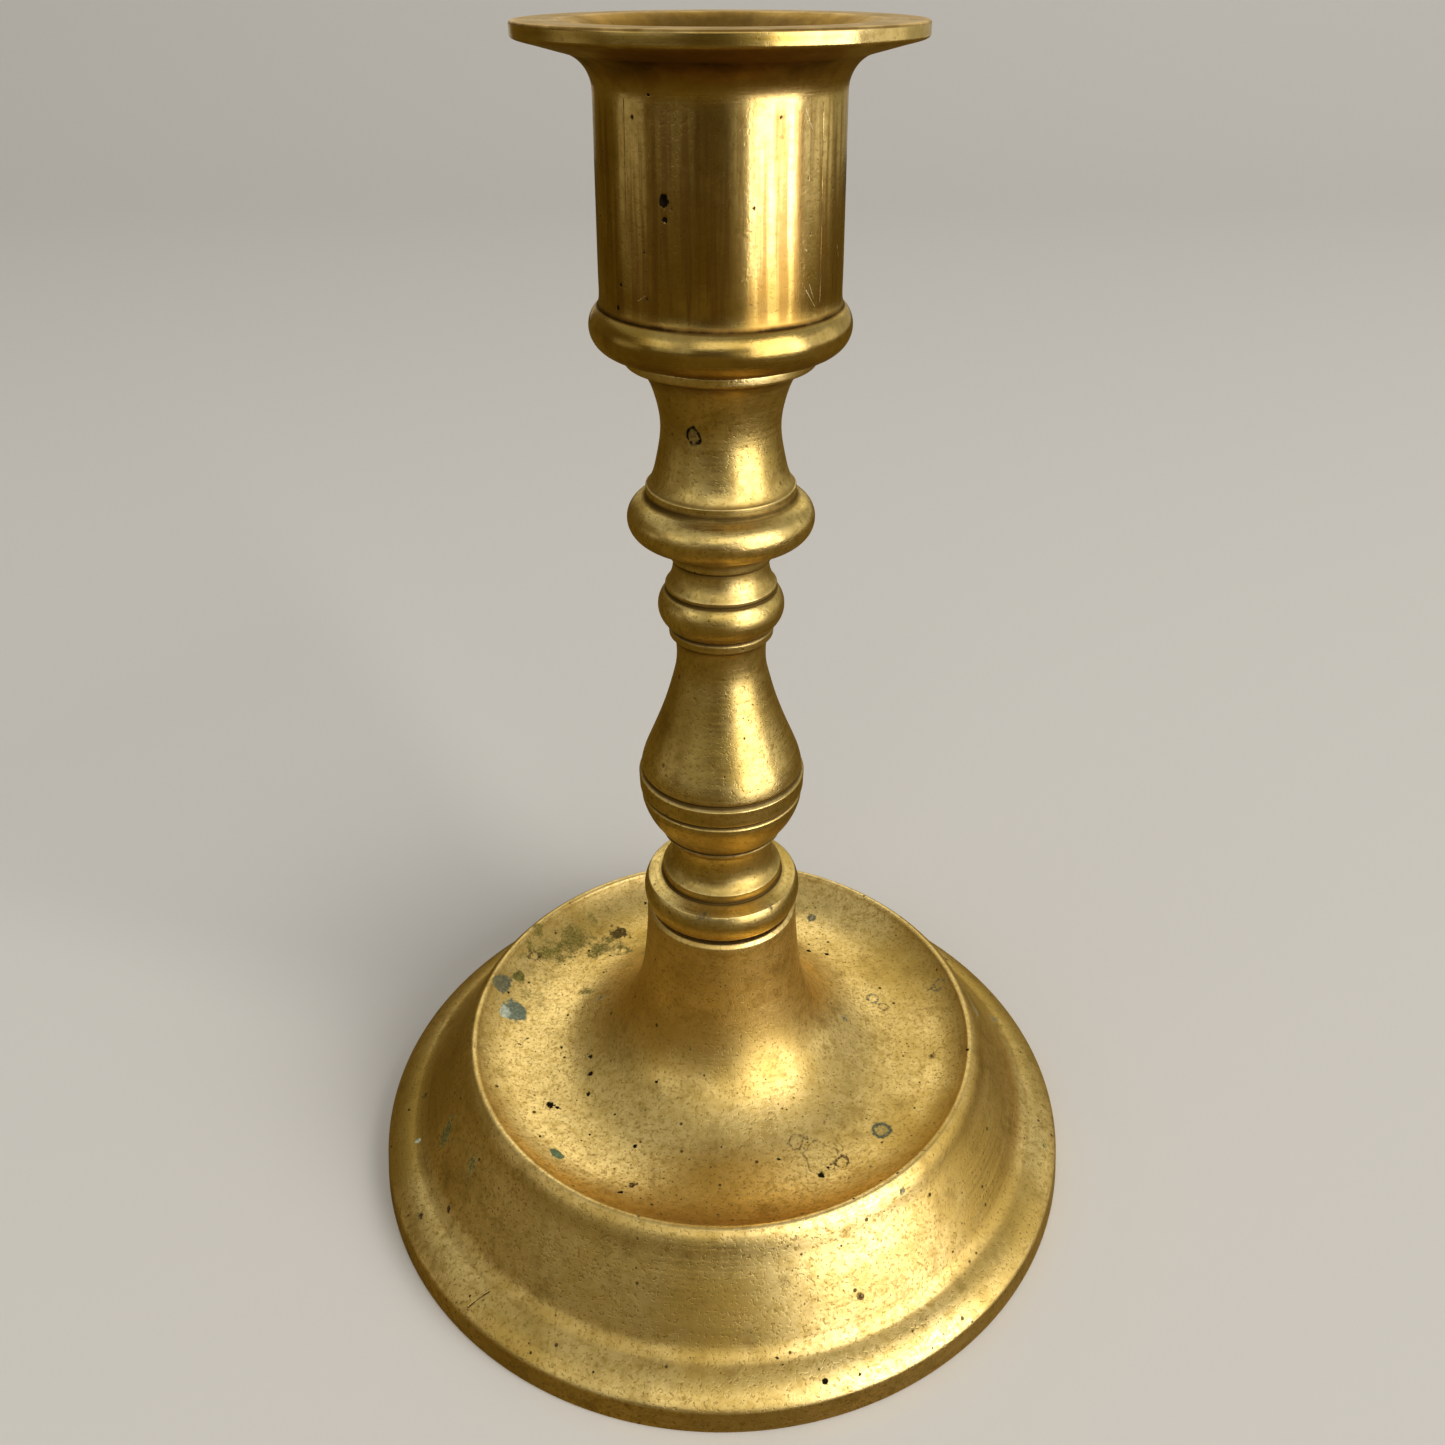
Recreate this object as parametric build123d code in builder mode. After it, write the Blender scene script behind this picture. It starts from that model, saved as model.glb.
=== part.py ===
"""A turned brass candlestick: foot, stem and cup, screwed together on two threaded studs.

The origin is on the table under the centre of the foot and +Z points up along the stem.
Every outline is given as (radius, height) and turned about the Z axis. Sizes are in millimetres.
"""
import os

from build123d import *

os.makedirs("parts", exist_ok=True)

# Threaded joints
thread_pitch = 1.0
thread_radius = 3.0
thread_depth = 0.6
crest_width = 0.2
bore_radius = thread_radius + 0.05
stud_chamfer = 0.5
tip_clearance = 0.7

# Heights of the three turned pieces
foot_top = 41.8
stem_standoff = 0.9
stem_bottom = foot_top + stem_standoff
stem_top = 116.6
cup_bottom = stem_top + 0.05
overall_height = 147.4

# Foot: a thin-walled casting, open underneath
foot_radius = 50.4
edge_radius = 50.0
edge_height = 3.9
skirt_radius = 45.2
skirt_height = 6.2
ridge_radius = 36.2
ridge_height = 19.6
shoulder_reach = 2.4
shoulder_drop = 3.5
dish_radius = 27.5
dish_height = 16.1
trumpet_radius = 10.15
foot_wall = 3.2
boss_bottom = 27.0
foot_stud_engagement = 8.6

# Stem
ring_radius = 10.45
waist_radius = 6.7
waist_height = 52.0
vase_radius = 10.5
vase_neck_radius = 5.4
vase_neck_height = 80.6
small_knop_radius = 7.5
small_knop_height = 87.0
knop_radius = 10.7
knop_height = 98.3
knop_base_radius = 7.6
knop_base_height = 95.7
knop_ledge_radius = 8.5
neck_radius = 6.65
neck_height = 108.6
collar_radius = 10.3
collar_thickness = 1.1
groove_depth = 0.3
stem_stud_engagement = 8.0

# Cup: the candle socket
cup_radius = 12.3
cup_wall_slope = 0.018
bead_radius = 13.85
bead_height = 119.4
bead_base_radius = 10.75
bead_base_step = 0.3
rim_radius = 19.65
rim_thickness = 1.5
socket_radius = 11.0
socket_floor = 122.7
mouth_radius = 15.3
mouth_depth = 5.6
cup_stud_engagement = 4.6
flare_height = 5.9


def stud_outline(bottom, top):
    """Half section of a threaded stud: crests and roots one pitch apart, both ends chamfered."""
    root_radius = thread_radius - thread_depth
    points = [(0, bottom), (root_radius, bottom)]
    height = bottom + stud_chamfer
    while height + thread_pitch < top:
        points.append((thread_radius, height))
        points.append((thread_radius, height + crest_width))
        points.append((root_radius, height + (crest_width + thread_pitch) / 2))
        height += thread_pitch
    points.append((root_radius, top))
    points.append((0, top))
    return points


with BuildPart() as foot:
    with BuildSketch(Plane.XZ):
        with BuildLine():
            # Outside, from the bore in the top face down to the table
            top_face = Line((bore_radius, foot_top), (trumpet_radius - 0.45, foot_top))
            top_edge = Line(top_face @ 1, (trumpet_radius, foot_top - 0.45))
            trumpet = Spline(
                top_edge @ 1,
                (10.55, 35.0),
                (11.95, 26.9),
                (15.6, 20.4),
                (20.6, 17.2),
                (dish_radius, dish_height),
                tangents=[(0.02, -1), (1, 0)],
            )
            dish = TangentArc(trumpet @ 1, (ridge_radius - 0.8, ridge_height - 0.35), tangent=(1, 0))
            crest = ThreePointArc(
                dish @ 1,
                (ridge_radius - 0.3, ridge_height),
                (ridge_radius + 0.3, ridge_height - 0.25),
            )
            # The skirt leaves the ridge in a gentle shoulder, then runs straight
            shoulder_end = (ridge_radius + shoulder_reach, ridge_height - shoulder_drop)
            skirt_end = (skirt_radius - 1.6, skirt_height + 2.0)
            skirt_slope = (skirt_end[0] - shoulder_end[0], skirt_end[1] - shoulder_end[1])
            skirt_shoulder = Spline(crest @ 1, shoulder_end, tangents=[(0.8, -0.6), skirt_slope])
            skirt = Line(skirt_shoulder @ 1, skirt_end)
            hollow = ThreePointArc(
                skirt @ 1,
                (skirt_radius - 0.75, skirt_height + 0.85),
                (skirt_radius + 0.5, skirt_height),
            )
            border = ThreePointArc(
                hollow @ 1,
                (48.0, edge_height + 1.4),
                (edge_radius - 0.35, edge_height + 0.2),
            )
            round_over = TangentArc(border @ 1, (edge_radius, edge_height - 0.3), tangent=border % 1)
            side = Line(round_over @ 1, (foot_radius, 0.4))
            bottom_edge = Line(side @ 1, (foot_radius - 0.4, 0))
            # Underside, back up to the boss that the stud screws into
            rest_face = Line(bottom_edge @ 1, (foot_radius - 3.9, 0))
            inner_skirt = Polyline(
                rest_face @ 1,
                (skirt_radius - 2.2, 3.0),
                (ridge_radius - 1.9, ridge_height - foot_wall - 1.0),
            )
            inner_ridge = ThreePointArc(
                inner_skirt @ 1,
                (ridge_radius - 3.2, ridge_height - foot_wall - 0.6),
                (ridge_radius - 4.6, dish_height - foot_wall + 1.0),
            )
            inner_trumpet = Spline(
                inner_ridge @ 1,
                (dish_radius - 1.5, dish_height - foot_wall),
                (15.6, 17.2),
                (8.6, boss_bottom),
                tangents=[(-1, -0.3), (-0.35, 1)],
            )
            boss_face = Line(inner_trumpet @ 1, (bore_radius, boss_bottom))
            bore = Line(boss_face @ 1, top_face @ 0)
        make_face()
    revolve(axis=Axis.Z)
foot.part.label = "foot"
export_step(foot.part, "parts/foot.step")


foot_stud_bottom = foot_top - foot_stud_engagement
foot_stud_top = stem_bottom + stem_stud_engagement
stem_lower_bore_end = foot_stud_top + tip_clearance

with BuildPart() as foot_stud:
    with BuildSketch(Plane.XZ):
        with BuildLine():
            Polyline(*stud_outline(foot_stud_bottom, foot_stud_top), close=True)
        make_face()
    revolve(axis=Axis.Z)
foot_stud.part.label = "foot_stud"
export_step(foot_stud.part, "parts/foot_stud.step")


cup_stud_bottom = stem_top - stem_stud_engagement
cup_stud_top = cup_bottom + cup_stud_engagement
stem_upper_bore_end = cup_stud_bottom - tip_clearance

with BuildPart() as stem:
    with BuildSketch(Plane.XZ):
        with BuildLine():
            # Bottom ring and the ledge above it
            ring_face = Line((bore_radius, stem_bottom), (ring_radius - 0.5, stem_bottom))
            ring = ThreePointArc(
                ring_face @ 1,
                (ring_radius, stem_bottom + 1.7),
                (ring_radius - 0.5, stem_bottom + 3.9),
            )
            ring_ledge = Polyline(
                ring @ 1,
                (7.9, stem_bottom + 4.5),
                (7.9, stem_bottom + 5.8),
            )
            # Waist, and the lip under the vase
            waist = Spline(
                ring_ledge @ 1,
                (waist_radius, waist_height),
                (7.05, 54.1),
                tangents=[(-0.8, 0.55), (0.35, 1)],
            )
            vase_lip = Polyline(
                waist @ 1,
                (7.5, 54.15),
                (7.85, 54.75),
                (7.7, 55.0),
            )
            vase_bowl = Spline(
                vase_lip @ 1,
                (9.5, 57.7),
                (10.25, 59.9),
                tangents=[(0.6, 0.8), (0.22, 1)],
            )
            # Two grooves round the belly, each an undercut below a sharp edge
            lower_groove = Polyline(
                vase_bowl @ 1,
                (10.3, 60.6),
                (10.3 - groove_depth, 61.0),
                (10.5, 61.5),
            )
            belly_band = Line(lower_groove @ 1, (vase_radius + 0.05, 63.3))
            upper_groove = Polyline(
                belly_band @ 1,
                (vase_radius + 0.05, 63.6),
                (10.2 - groove_depth, 64.0),
                (10.25, 64.5),
            )
            # The vase narrows to its thin neck
            vase_taper = Spline(
                upper_groove @ 1,
                (9.15, 67.9),
                (6.85, 73.9),
                (5.8, 77.6),
                (vase_neck_radius, vase_neck_height),
                tangents=[(-0.16, 1), (0, 1)],
            )
            under_ring = Spline(
                vase_taper @ 1,
                (6.0, 83.1),
                tangents=[(0, 1), (0.75, 0.65)],
            )
            thin_ring = Polyline(
                under_ring @ 1,
                (6.25, 83.2),
                (6.3, 84.1),
                (6.05, 84.3),
                (6.3, 84.55),
            )
            # Small knop and the short neck above it
            small_knop = ThreePointArc(
                thin_ring @ 1,
                (small_knop_radius, small_knop_height),
                (6.75, 88.9),
            )
            small_ledge = Polyline(
                small_knop @ 1,
                (6.5, 89.1),
                (6.6, 89.75),
            )
            short_neck = Spline(
                small_ledge @ 1,
                (5.7, 91.6),
                (5.6, 93.0),
                tangents=[(-0.6, 0.6), (0, 1)],
            )
            knop_fillet = Polyline(
                short_neck @ 1,
                (5.95, 93.1),
                (6.0, 93.9),
            )
            under_knop = ThreePointArc(
                knop_fillet @ 1,
                (6.5, 94.9),
                (knop_base_radius, knop_base_height),
            )
            # Big knop, its ledge and the fillet under the neck
            big_knop = ThreePointArc(
                under_knop @ 1,
                (knop_radius, knop_height),
                (9.6, knop_height + 1.75),
            )
            knop_ledge = Polyline(
                big_knop @ 1,
                (knop_ledge_radius + 0.25, 100.55),
                (knop_ledge_radius, 100.85),
                (knop_ledge_radius, 101.9),
                (knop_ledge_radius - 0.2, 102.0),
            )
            # Upper neck, a long cove between the knop and the collar
            neck = Spline(
                knop_ledge @ 1,
                (7.2, 104.9),
                (neck_radius, neck_height),
                (7.35, 112.6),
                (8.8, stem_top - collar_thickness - 0.5),
                tangents=[(-0.5, 0.6), (0.8, 0.6)],
            )
            collar = Polyline(
                neck @ 1,
                (collar_radius - 0.2, stem_top - collar_thickness),
                (collar_radius, stem_top - collar_thickness + 0.15),
                (collar_radius, stem_top - 0.15),
                (collar_radius - 0.15, stem_top),
                (bore_radius, stem_top),
            )
            # Blind tapped bores for the two studs
            upper_bore = Polyline(
                collar @ 1,
                (bore_radius, stem_upper_bore_end),
                (0, stem_upper_bore_end - 1.5),
            )
            core = Line(upper_bore @ 1, (0, stem_lower_bore_end + 1.5))
            lower_bore = Polyline(
                core @ 1,
                (bore_radius, stem_lower_bore_end),
                ring_face @ 0,
            )
        make_face()
    revolve(axis=Axis.Z)
stem.part.label = "stem"
export_step(stem.part, "parts/stem.step")


with BuildPart() as cup_stud:
    with BuildSketch(Plane.XZ):
        with BuildLine():
            Polyline(*stud_outline(cup_stud_bottom, cup_stud_top), close=True)
        make_face()
    revolve(axis=Axis.Z)
cup_stud.part.label = "cup_stud"
export_step(cup_stud.part, "parts/cup_stud.step")


cup_bore_end = cup_stud_top + 0.25
wall_top = overall_height - flare_height
wall_bottom = bead_height + 2.9
wall_bottom_radius = cup_radius + cup_wall_slope * (wall_top - wall_bottom)

with BuildPart() as cup:
    with BuildSketch(Plane.XZ):
        with BuildLine():
            # Underside, bead and outer wall
            seat = Polyline(
                (bore_radius, cup_bottom),
                (bead_base_radius - 0.6, cup_bottom),
                (bead_base_radius, cup_bottom + bead_base_step),
            )
            bead = ThreePointArc(
                seat @ 1,
                (bead_radius, bead_height),
                (13.0, bead_height + 2.1),
            )
            bead_step = Polyline(
                bead @ 1,
                (wall_bottom_radius + 0.15, bead_height + 2.25),
                (wall_bottom_radius, wall_bottom),
            )
            wall = Line(bead_step @ 1, (cup_radius, wall_top))
            # Flare under the rim, and the rim itself
            flare = TangentArc(wall @ 1, (14.4, overall_height - 2.8), tangent=wall % 1)
            rim_underside = Line(flare @ 1, (rim_radius - 0.3, overall_height - rim_thickness))
            rim_edge = Polyline(
                rim_underside @ 1,
                (rim_radius, overall_height - rim_thickness + 0.2),
                (rim_radius, overall_height - 0.2),
                (rim_radius - 0.2, overall_height),
            )
            rim_top = Line(rim_edge @ 1, (mouth_radius, overall_height))
            # Bell mouth and the candle socket
            mouth = ThreePointArc(
                rim_top @ 1,
                (12.35, overall_height - 2.15),
                (socket_radius, overall_height - mouth_depth),
            )
            socket = Polyline(
                mouth @ 1,
                (socket_radius, socket_floor),
                (0, socket_floor),
                (0, cup_bore_end),
                (bore_radius, cup_bore_end),
                seat @ 0,
            )
        make_face()
    revolve(axis=Axis.Z)
cup.part.label = "cup"
export_step(cup.part, "parts/cup.step")
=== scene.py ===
"""Looks of the turned brass candlestick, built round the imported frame.

Blender works in metres here, with the origin on the table under the foot's centre and +Z up.
Marks on the brass are placed by their bearing in degrees, 0 at the front (-Y) and 90 at the right (+X).
"""
import math

import bmesh
import bpy
import numpy as np
from mathutils import Matrix, Vector, kdtree, noise


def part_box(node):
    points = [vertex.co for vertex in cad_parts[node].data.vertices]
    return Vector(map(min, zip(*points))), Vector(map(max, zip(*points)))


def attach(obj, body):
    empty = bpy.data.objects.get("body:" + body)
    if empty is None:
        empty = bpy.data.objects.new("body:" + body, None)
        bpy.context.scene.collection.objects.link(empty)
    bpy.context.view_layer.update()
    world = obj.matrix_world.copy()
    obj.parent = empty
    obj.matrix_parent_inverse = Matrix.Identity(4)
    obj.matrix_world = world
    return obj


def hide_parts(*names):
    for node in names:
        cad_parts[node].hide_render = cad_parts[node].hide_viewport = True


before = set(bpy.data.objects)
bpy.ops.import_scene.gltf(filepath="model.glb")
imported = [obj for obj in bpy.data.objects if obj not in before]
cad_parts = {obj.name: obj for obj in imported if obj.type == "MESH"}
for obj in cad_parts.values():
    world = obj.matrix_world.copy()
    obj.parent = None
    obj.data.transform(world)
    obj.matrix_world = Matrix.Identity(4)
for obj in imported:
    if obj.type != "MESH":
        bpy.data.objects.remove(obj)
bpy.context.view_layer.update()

MM = 0.001
MICRON = 1e-6
ON_AXIS = 1e-6  # a point nearer to the axis than this is on it

# How each outline is sampled, worn round and cut into rows.
OUTLINE_STEP = 0.04 * MM
SHARP_CORNER = math.radians(19)
ROW_TURN = math.radians(5)
ROW_REACH = 0.55 * MM
BEND_BLUR = 0.10 * MM
CREVICE_BLUR = 0.15 * MM
EDGE_BLUR = 0.10 * MM
CREVICE_GAIN = 0.68 * MM
EDGE_GAIN = 0.35 * MM

# How marks are cut into the mesh and drawn.
MOST_CUTS = 5
FINEST_CUT = 0.05 * MM
COARSEST_CUT = 0.25 * MM
RING_RADIUS = 0.72  # against the mark's size
RING_LINE = 0.22 * MM

# Brown in the cup's mouth: how much is added to the crevice attribute, and from what height up.
SOOT = 0.55
SOOT_FROM = 140 * MM

THREAD_PITCH = 1.0 * MM
THREAD_DEPTH = 0.6 * MM
THREAD_ROWS = 12
THREAD_SEGMENTS = 72
CREST_HALF = 0.07  # half the crest and each flank, as shares of the pitch
FLANK_WIDTH = 0.36

rng = np.random.default_rng(7)


# ---------------------------------------------------------------- outlines read from the frame


def seam_outline(node):
    """Half section of a turned CAD node as ordered (radius, height) points, read from its mesh's seam."""
    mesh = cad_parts[node].data
    points = np.array([v.co for v in mesh.vertices])
    slack = 2e-7
    on_seam = (np.abs(points[:, 1]) < slack) & (points[:, 0] > -slack)
    keys = [tuple(k) for k in np.round(points[:, [0, 2]] / MICRON).astype(int)]
    links = {}
    for edge in mesh.edges:
        a, b = edge.vertices
        if on_seam[a] and on_seam[b] and keys[a] != keys[b]:
            links.setdefault(keys[a], set()).add(keys[b])
            links.setdefault(keys[b], set()).add(keys[a])
    open_ends = sorted(k for k in links if len(links[k]) == 1)
    start = open_ends[0] if open_ends else min(links)
    chain = [start]
    while True:
        onward = [k for k in sorted(links[chain[-1]]) if k not in chain[-2:]]
        if not onward or onward[0] == start:
            break
        chain.append(onward[0])
    outline = np.array(chain) * MICRON
    if open_ends:
        ends = outline[[0, -1]] * (0, 1)
        outline = np.vstack([ends[:1], outline, ends[1:]])
        apart = np.linalg.norm(outline - np.roll(outline, 1, axis=0), axis=1) > 1e-7
        outline = outline[apart]
    area = np.sum(outline[:, 0] * np.roll(outline[:, 1], -1) - outline[:, 1] * np.roll(outline[:, 0], -1))
    return outline if area > 0 else outline[::-1]


def smooth_stretch(points, spacing):
    """Points along a centripetal Catmull-Rom curve through a stretch that has no corner."""
    if len(points) < 3:
        count = max(2, int(np.linalg.norm(points[-1] - points[0]) / spacing) + 1)
        return points[0] + (points[-1] - points[0]) * np.linspace(0, 1, count)[:, None]
    ghost = np.vstack([2 * points[0] - points[1], points, 2 * points[-1] - points[-2]])
    knots = np.concatenate([[0], np.cumsum(np.sqrt(np.linalg.norm(np.diff(ghost, axis=0), axis=1)))])
    made = [points[:1]]
    for i in range(1, len(ghost) - 2):
        p0, p1, p2, p3 = ghost[i - 1 : i + 3]
        t0, t1, t2, t3 = knots[i - 1 : i + 3]
        count = max(2, int(np.linalg.norm(p2 - p1) / spacing) + 1)
        t = np.linspace(t1, t2, count)[1:, None]
        a1 = (t1 - t) / (t1 - t0) * p0 + (t - t0) / (t1 - t0) * p1
        a2 = (t2 - t) / (t2 - t1) * p1 + (t - t1) / (t2 - t1) * p2
        a3 = (t3 - t) / (t3 - t2) * p2 + (t - t2) / (t3 - t2) * p3
        b1 = (t2 - t) / (t2 - t0) * a1 + (t - t0) / (t2 - t0) * a2
        b2 = (t3 - t) / (t3 - t1) * a2 + (t - t1) / (t3 - t1) * a3
        made.append((t2 - t) / (t2 - t1) * b1 + (t - t1) / (t2 - t1) * b2)
    return np.vstack(made)


def blurred(values, spacing, width):
    """A closed run of values, smoothed by a Gaussian of the given width along the outline."""
    reach = int(3 * width / spacing) + 1
    weights = np.exp(-0.5 * (np.arange(-reach, reach + 1) * spacing / width) ** 2)
    weights /= weights.sum()
    padded = np.concatenate([values[-reach:], values, values[:reach]])
    return np.convolve(padded, weights, mode="valid")


def turning(points):
    """Signed turn at each point of a closed outline, in radians; positive where the metal is convex."""
    before = points - np.roll(points, 1, axis=0)
    after = np.roll(points, -1, axis=0) - points
    cross = before[:, 0] * after[:, 1] - before[:, 1] * after[:, 0]
    return np.arctan2(cross, np.sum(before * after, axis=1))


def even_outline(node, spacing):
    """The node's outline at an even spacing, smooth between its corners."""
    rough = seam_outline(node)
    corner = np.abs(turning(rough)) > SHARP_CORNER
    first = int(np.argmax(corner))
    rough = np.roll(rough, -first, axis=0)
    corner = np.roll(corner, -first)
    stops = list(np.flatnonzero(corner)) + [len(rough)]
    rough = np.vstack([rough, rough[:1]])
    fine = []
    for a, b in zip(stops[:-1], stops[1:]):
        fine.append(smooth_stretch(rough[a : b + 1], spacing)[:-1])
    fine = np.vstack(fine)
    lengths = np.linalg.norm(np.roll(fine, -1, axis=0) - fine, axis=1)
    travel = np.concatenate([[0], np.cumsum(lengths)])
    at = np.linspace(0, travel[-1], int(travel[-1] / spacing), endpoint=False)
    closed = np.vstack([fine, fine[:1]])
    return np.stack([np.interp(at, travel, closed[:, i]) for i in (0, 1)], axis=1)


def rows_to_keep(worn, spacing):
    """Which points of a worn outline become rows: more where it turns, and always at the axis."""
    turn = np.abs(turning(worn))
    keep = [0]
    turned = 0.0
    gone = 0.0
    for i in range(1, len(worn)):
        turned += turn[i]
        gone += spacing
        meets_axis = (worn[i, 0] < ON_AXIS) != (worn[keep[-1], 0] < ON_AXIS)
        if turned > ROW_TURN or gone > ROW_REACH or meets_axis:
            keep.append(i)
            turned = 0.0
            gone = 0.0
    return keep


def dressed_outline(node, worn_edge):
    """The node's outline with every corner worn round, as rows of radius, height, crevice and edge wear."""
    spacing = OUTLINE_STEP
    even = even_outline(node, spacing)
    on_axis = even[:, 0] < ON_AXIS
    worn = np.stack([blurred(even[:, i], spacing, worn_edge) for i in (0, 1)], axis=1)
    worn[on_axis, 0] = 0
    bend = turning(even) / spacing
    # The crevice value, from how concave the outline is, darkens the metal there: tarnish in the hollows,
    # and painted shade.
    crevice = blurred(np.maximum(-blurred(bend, spacing, BEND_BLUR), 0), spacing, CREVICE_BLUR)
    edge = blurred(np.maximum(blurred(bend, spacing, BEND_BLUR), 0), spacing, EDGE_BLUR)
    rows = np.column_stack([worn, crevice * CREVICE_GAIN, edge * EDGE_GAIN])
    return rows[rows_to_keep(worn, spacing)]


# ---------------------------------------------------------------- lathe meshes


def turned_mesh(rows, segments):
    """A closed turned solid from outline rows, with its crevice and edge wear kept as attributes."""
    bearing = 2 * math.pi * np.arange(segments) / segments
    bm = bmesh.new()
    crevice_layer = bm.verts.layers.float.new("crevice")
    edge_layer = bm.verts.layers.float.new("edge")
    rings = []
    for radius, height, crevice, edge in rows:
        if radius < ON_AXIS:
            ring = [bm.verts.new((0, 0, height))]
        else:
            ring = [bm.verts.new((radius * math.sin(a), -radius * math.cos(a), height)) for a in bearing]
        for vert in ring:
            vert[crevice_layer] = crevice
            vert[edge_layer] = edge
        rings.append(ring)
    for lower, upper in zip(rings, rings[1:] + rings[:1]):
        if len(lower) == 1 and len(upper) == 1:
            continue
        for i in range(segments):
            j = (i + 1) % segments
            below = [lower[i % len(lower)], lower[j % len(lower)]]
            above = [upper[j % len(upper)], upper[i % len(upper)]]
            bm.faces.new(list(dict.fromkeys(below + above)))
    loose = [v for v in bm.verts if not v.link_faces]
    bmesh.ops.delete(bm, geom=loose, context="VERTS")
    bmesh.ops.recalc_face_normals(bm, faces=bm.faces)
    for face in bm.faces:
        face.smooth = True
    return bm


# ---------------------------------------------------------------- marks: pits, stains, flakes and scratches

BLACK = (0.012, 0.008, 0.004)
BROWN = (0.10, 0.055, 0.018)
OLIVE = (0.17, 0.15, 0.035)
MOSS = (0.34, 0.27, 0.055)
GREY = (0.18, 0.175, 0.100)
SLATE = (0.20, 0.23, 0.150)
INK = (0.040, 0.032, 0.026)
VERDIGRIS = (0.17, 0.23, 0.11)
CHALK = (0.52, 0.56, 0.41)
BRIGHT = (0.95, 0.82, 0.55)
PIT = (0.045, 0.024, 0.005)
WORN = (0.88, 0.66, 0.28)
SCAB = (0.016, 0.011, 0.006)


def on_piece(rows, bearing, radius=None, height=None):
    """The point of a piece's outer surface at a bearing and a radius or a height, both in millimetres."""
    if height is None:
        near = rows[np.abs(rows[:, 0] - radius * MM) < 0.5 * MM]
        best = near[np.argmax(near[:, 1])]
    else:
        near = rows[np.abs(rows[:, 1] - height * MM) < 0.5 * MM]
        best = near[np.argmax(near[:, 0])]
    a = math.radians(bearing)
    reach = best[0] if radius is None else radius * MM
    level = best[1] if height is None else height * MM
    return Vector((reach * math.sin(a), -reach * math.cos(a), level))


def mark(centre, size, colour=None, strength=0.9, depth=0.0, wide=1.0, ragged=0.35, shape="spot", end=None):
    """One mark: size is its radius and depth is sunken if below 0, both in millimetres."""
    return {
        "centre": centre,
        "size": size * MM,
        "colour": colour,
        "strength": strength,
        "depth": depth * MM,
        "wide": wide,
        "ragged": ragged,
        "shape": shape,
        "end": end,
    }


def scratch(start, end, width=0.05, colour=BRIGHT, strength=0.5, depth=-0.015):
    """A thin line between two points of the surface."""
    return mark(start, width, colour, strength, depth, ragged=0.25, shape="line", end=end)


def tree_of(places):
    """A search tree over points."""
    tree = kdtree.KDTree(len(places))
    for i, p in enumerate(places):
        tree.insert(p, i)
    tree.balance()
    return tree


def under(tree, m, reach):
    """Indices of the points within reach of a mark's centre, or of its line."""
    end = m["end"] if m["end"] is not None else m["centre"]
    steps = int((end - m["centre"]).length / reach) + 1
    found = set()
    for k in range(steps + 1):
        found.update(hit[1] for hit in tree.find_range(m["centre"].lerp(end, k / steps), reach))
    return sorted(found)


def refine(bm, marks, spacing):
    """Cuts the faces under each mark finely enough to carry its shape, small marks finest."""
    bm.verts.ensure_lookup_table()
    verts = list(bm.verts)
    tree = tree_of([v.co for v in verts])
    wanted = {}
    for m in marks:
        step = min(max(m["size"] / 3.5, FINEST_CUT), COARSEST_CUT)
        cuts = min(int(spacing / step), MOST_CUTS)
        for i in under(tree, m, m["size"] * 1.4 * max(m["wide"], 1) + spacing * 0.7):
            for face in verts[i].link_faces:
                wanted[face] = max(cuts, wanted.get(face, 0))
    edges = {}
    for face, cuts in wanted.items():
        for edge in face.edges:
            edges[edge] = max(cuts, edges.get(edge, 0))
    for cuts in sorted(set(edges.values())):
        group = [e for e in edges if edges[e] == cuts and e.is_valid]
        if cuts > 0 and group:
            bmesh.ops.subdivide_edges(bm, edges=group, cuts=cuts, use_grid_fill=True)


def step_between(value, low, high):
    """Smooth step from 0 at low to 1 at high; low may be the larger."""
    t = np.clip((value - low) / (high - low), 0, 1)
    return t * t * (3 - 2 * t)


def values_of(collection, key, width):
    """One property of every item of a mesh's collection, as rows of the given width."""
    values = np.empty(len(collection) * width)
    collection.foreach_get(key, values)
    return values.reshape(-1, width)


def places_of(mesh):
    """Every vertex's place."""
    return values_of(mesh.vertices, "co", 3)


def normals_of(mesh):
    """Every vertex's normal."""
    return values_of(mesh.vertex_normals, "vector", 3)


def ragged_distance(points, m, number):
    """How far points are from a mark, against its size, with its number choosing how ragged its edge is."""
    start = np.array(m["centre"])
    end = np.array(m["end"]) if m["end"] is not None else start
    along = end - start
    length = max(float(along @ along), 1e-12)
    t = np.clip((points - start) @ along / length, 0, 1)[:, None]
    offset = points - start - t * along
    around = np.array((-start[1], start[0], 0)) / max(math.hypot(start[0], start[1]), 1e-9)
    sideways = offset @ around
    across = np.sqrt(np.maximum(np.sum(offset**2, axis=1) - sideways**2, 0))
    distance = np.hypot(sideways / m["wide"], across) / m["size"]
    apart = Vector((number * 7.3, 0, 0))
    broad = np.array([noise.noise(Vector(p) / (m["size"] * 0.9) + apart) for p in points])
    fine = np.array([noise.noise(Vector(p) / (m["size"] * 0.32) - apart) for p in points])
    return distance * (1 + m["ragged"] * (broad + 0.6 * fine))


def cover_and_dent(distance, m):
    """How much a mark colours and how much it sinks the surface, at each distance from it."""
    if m["shape"] == "ring":
        cover = np.exp(-(((distance - RING_RADIUS) * m["size"] / RING_LINE) ** 2))
        return cover, cover
    dent = step_between(distance, 0.90, 0.35)
    if m["shape"] == "soft":
        return np.exp(-((distance / 0.7) ** 2)), dent
    return step_between(distance, 1.15, 0.75), dent


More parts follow.
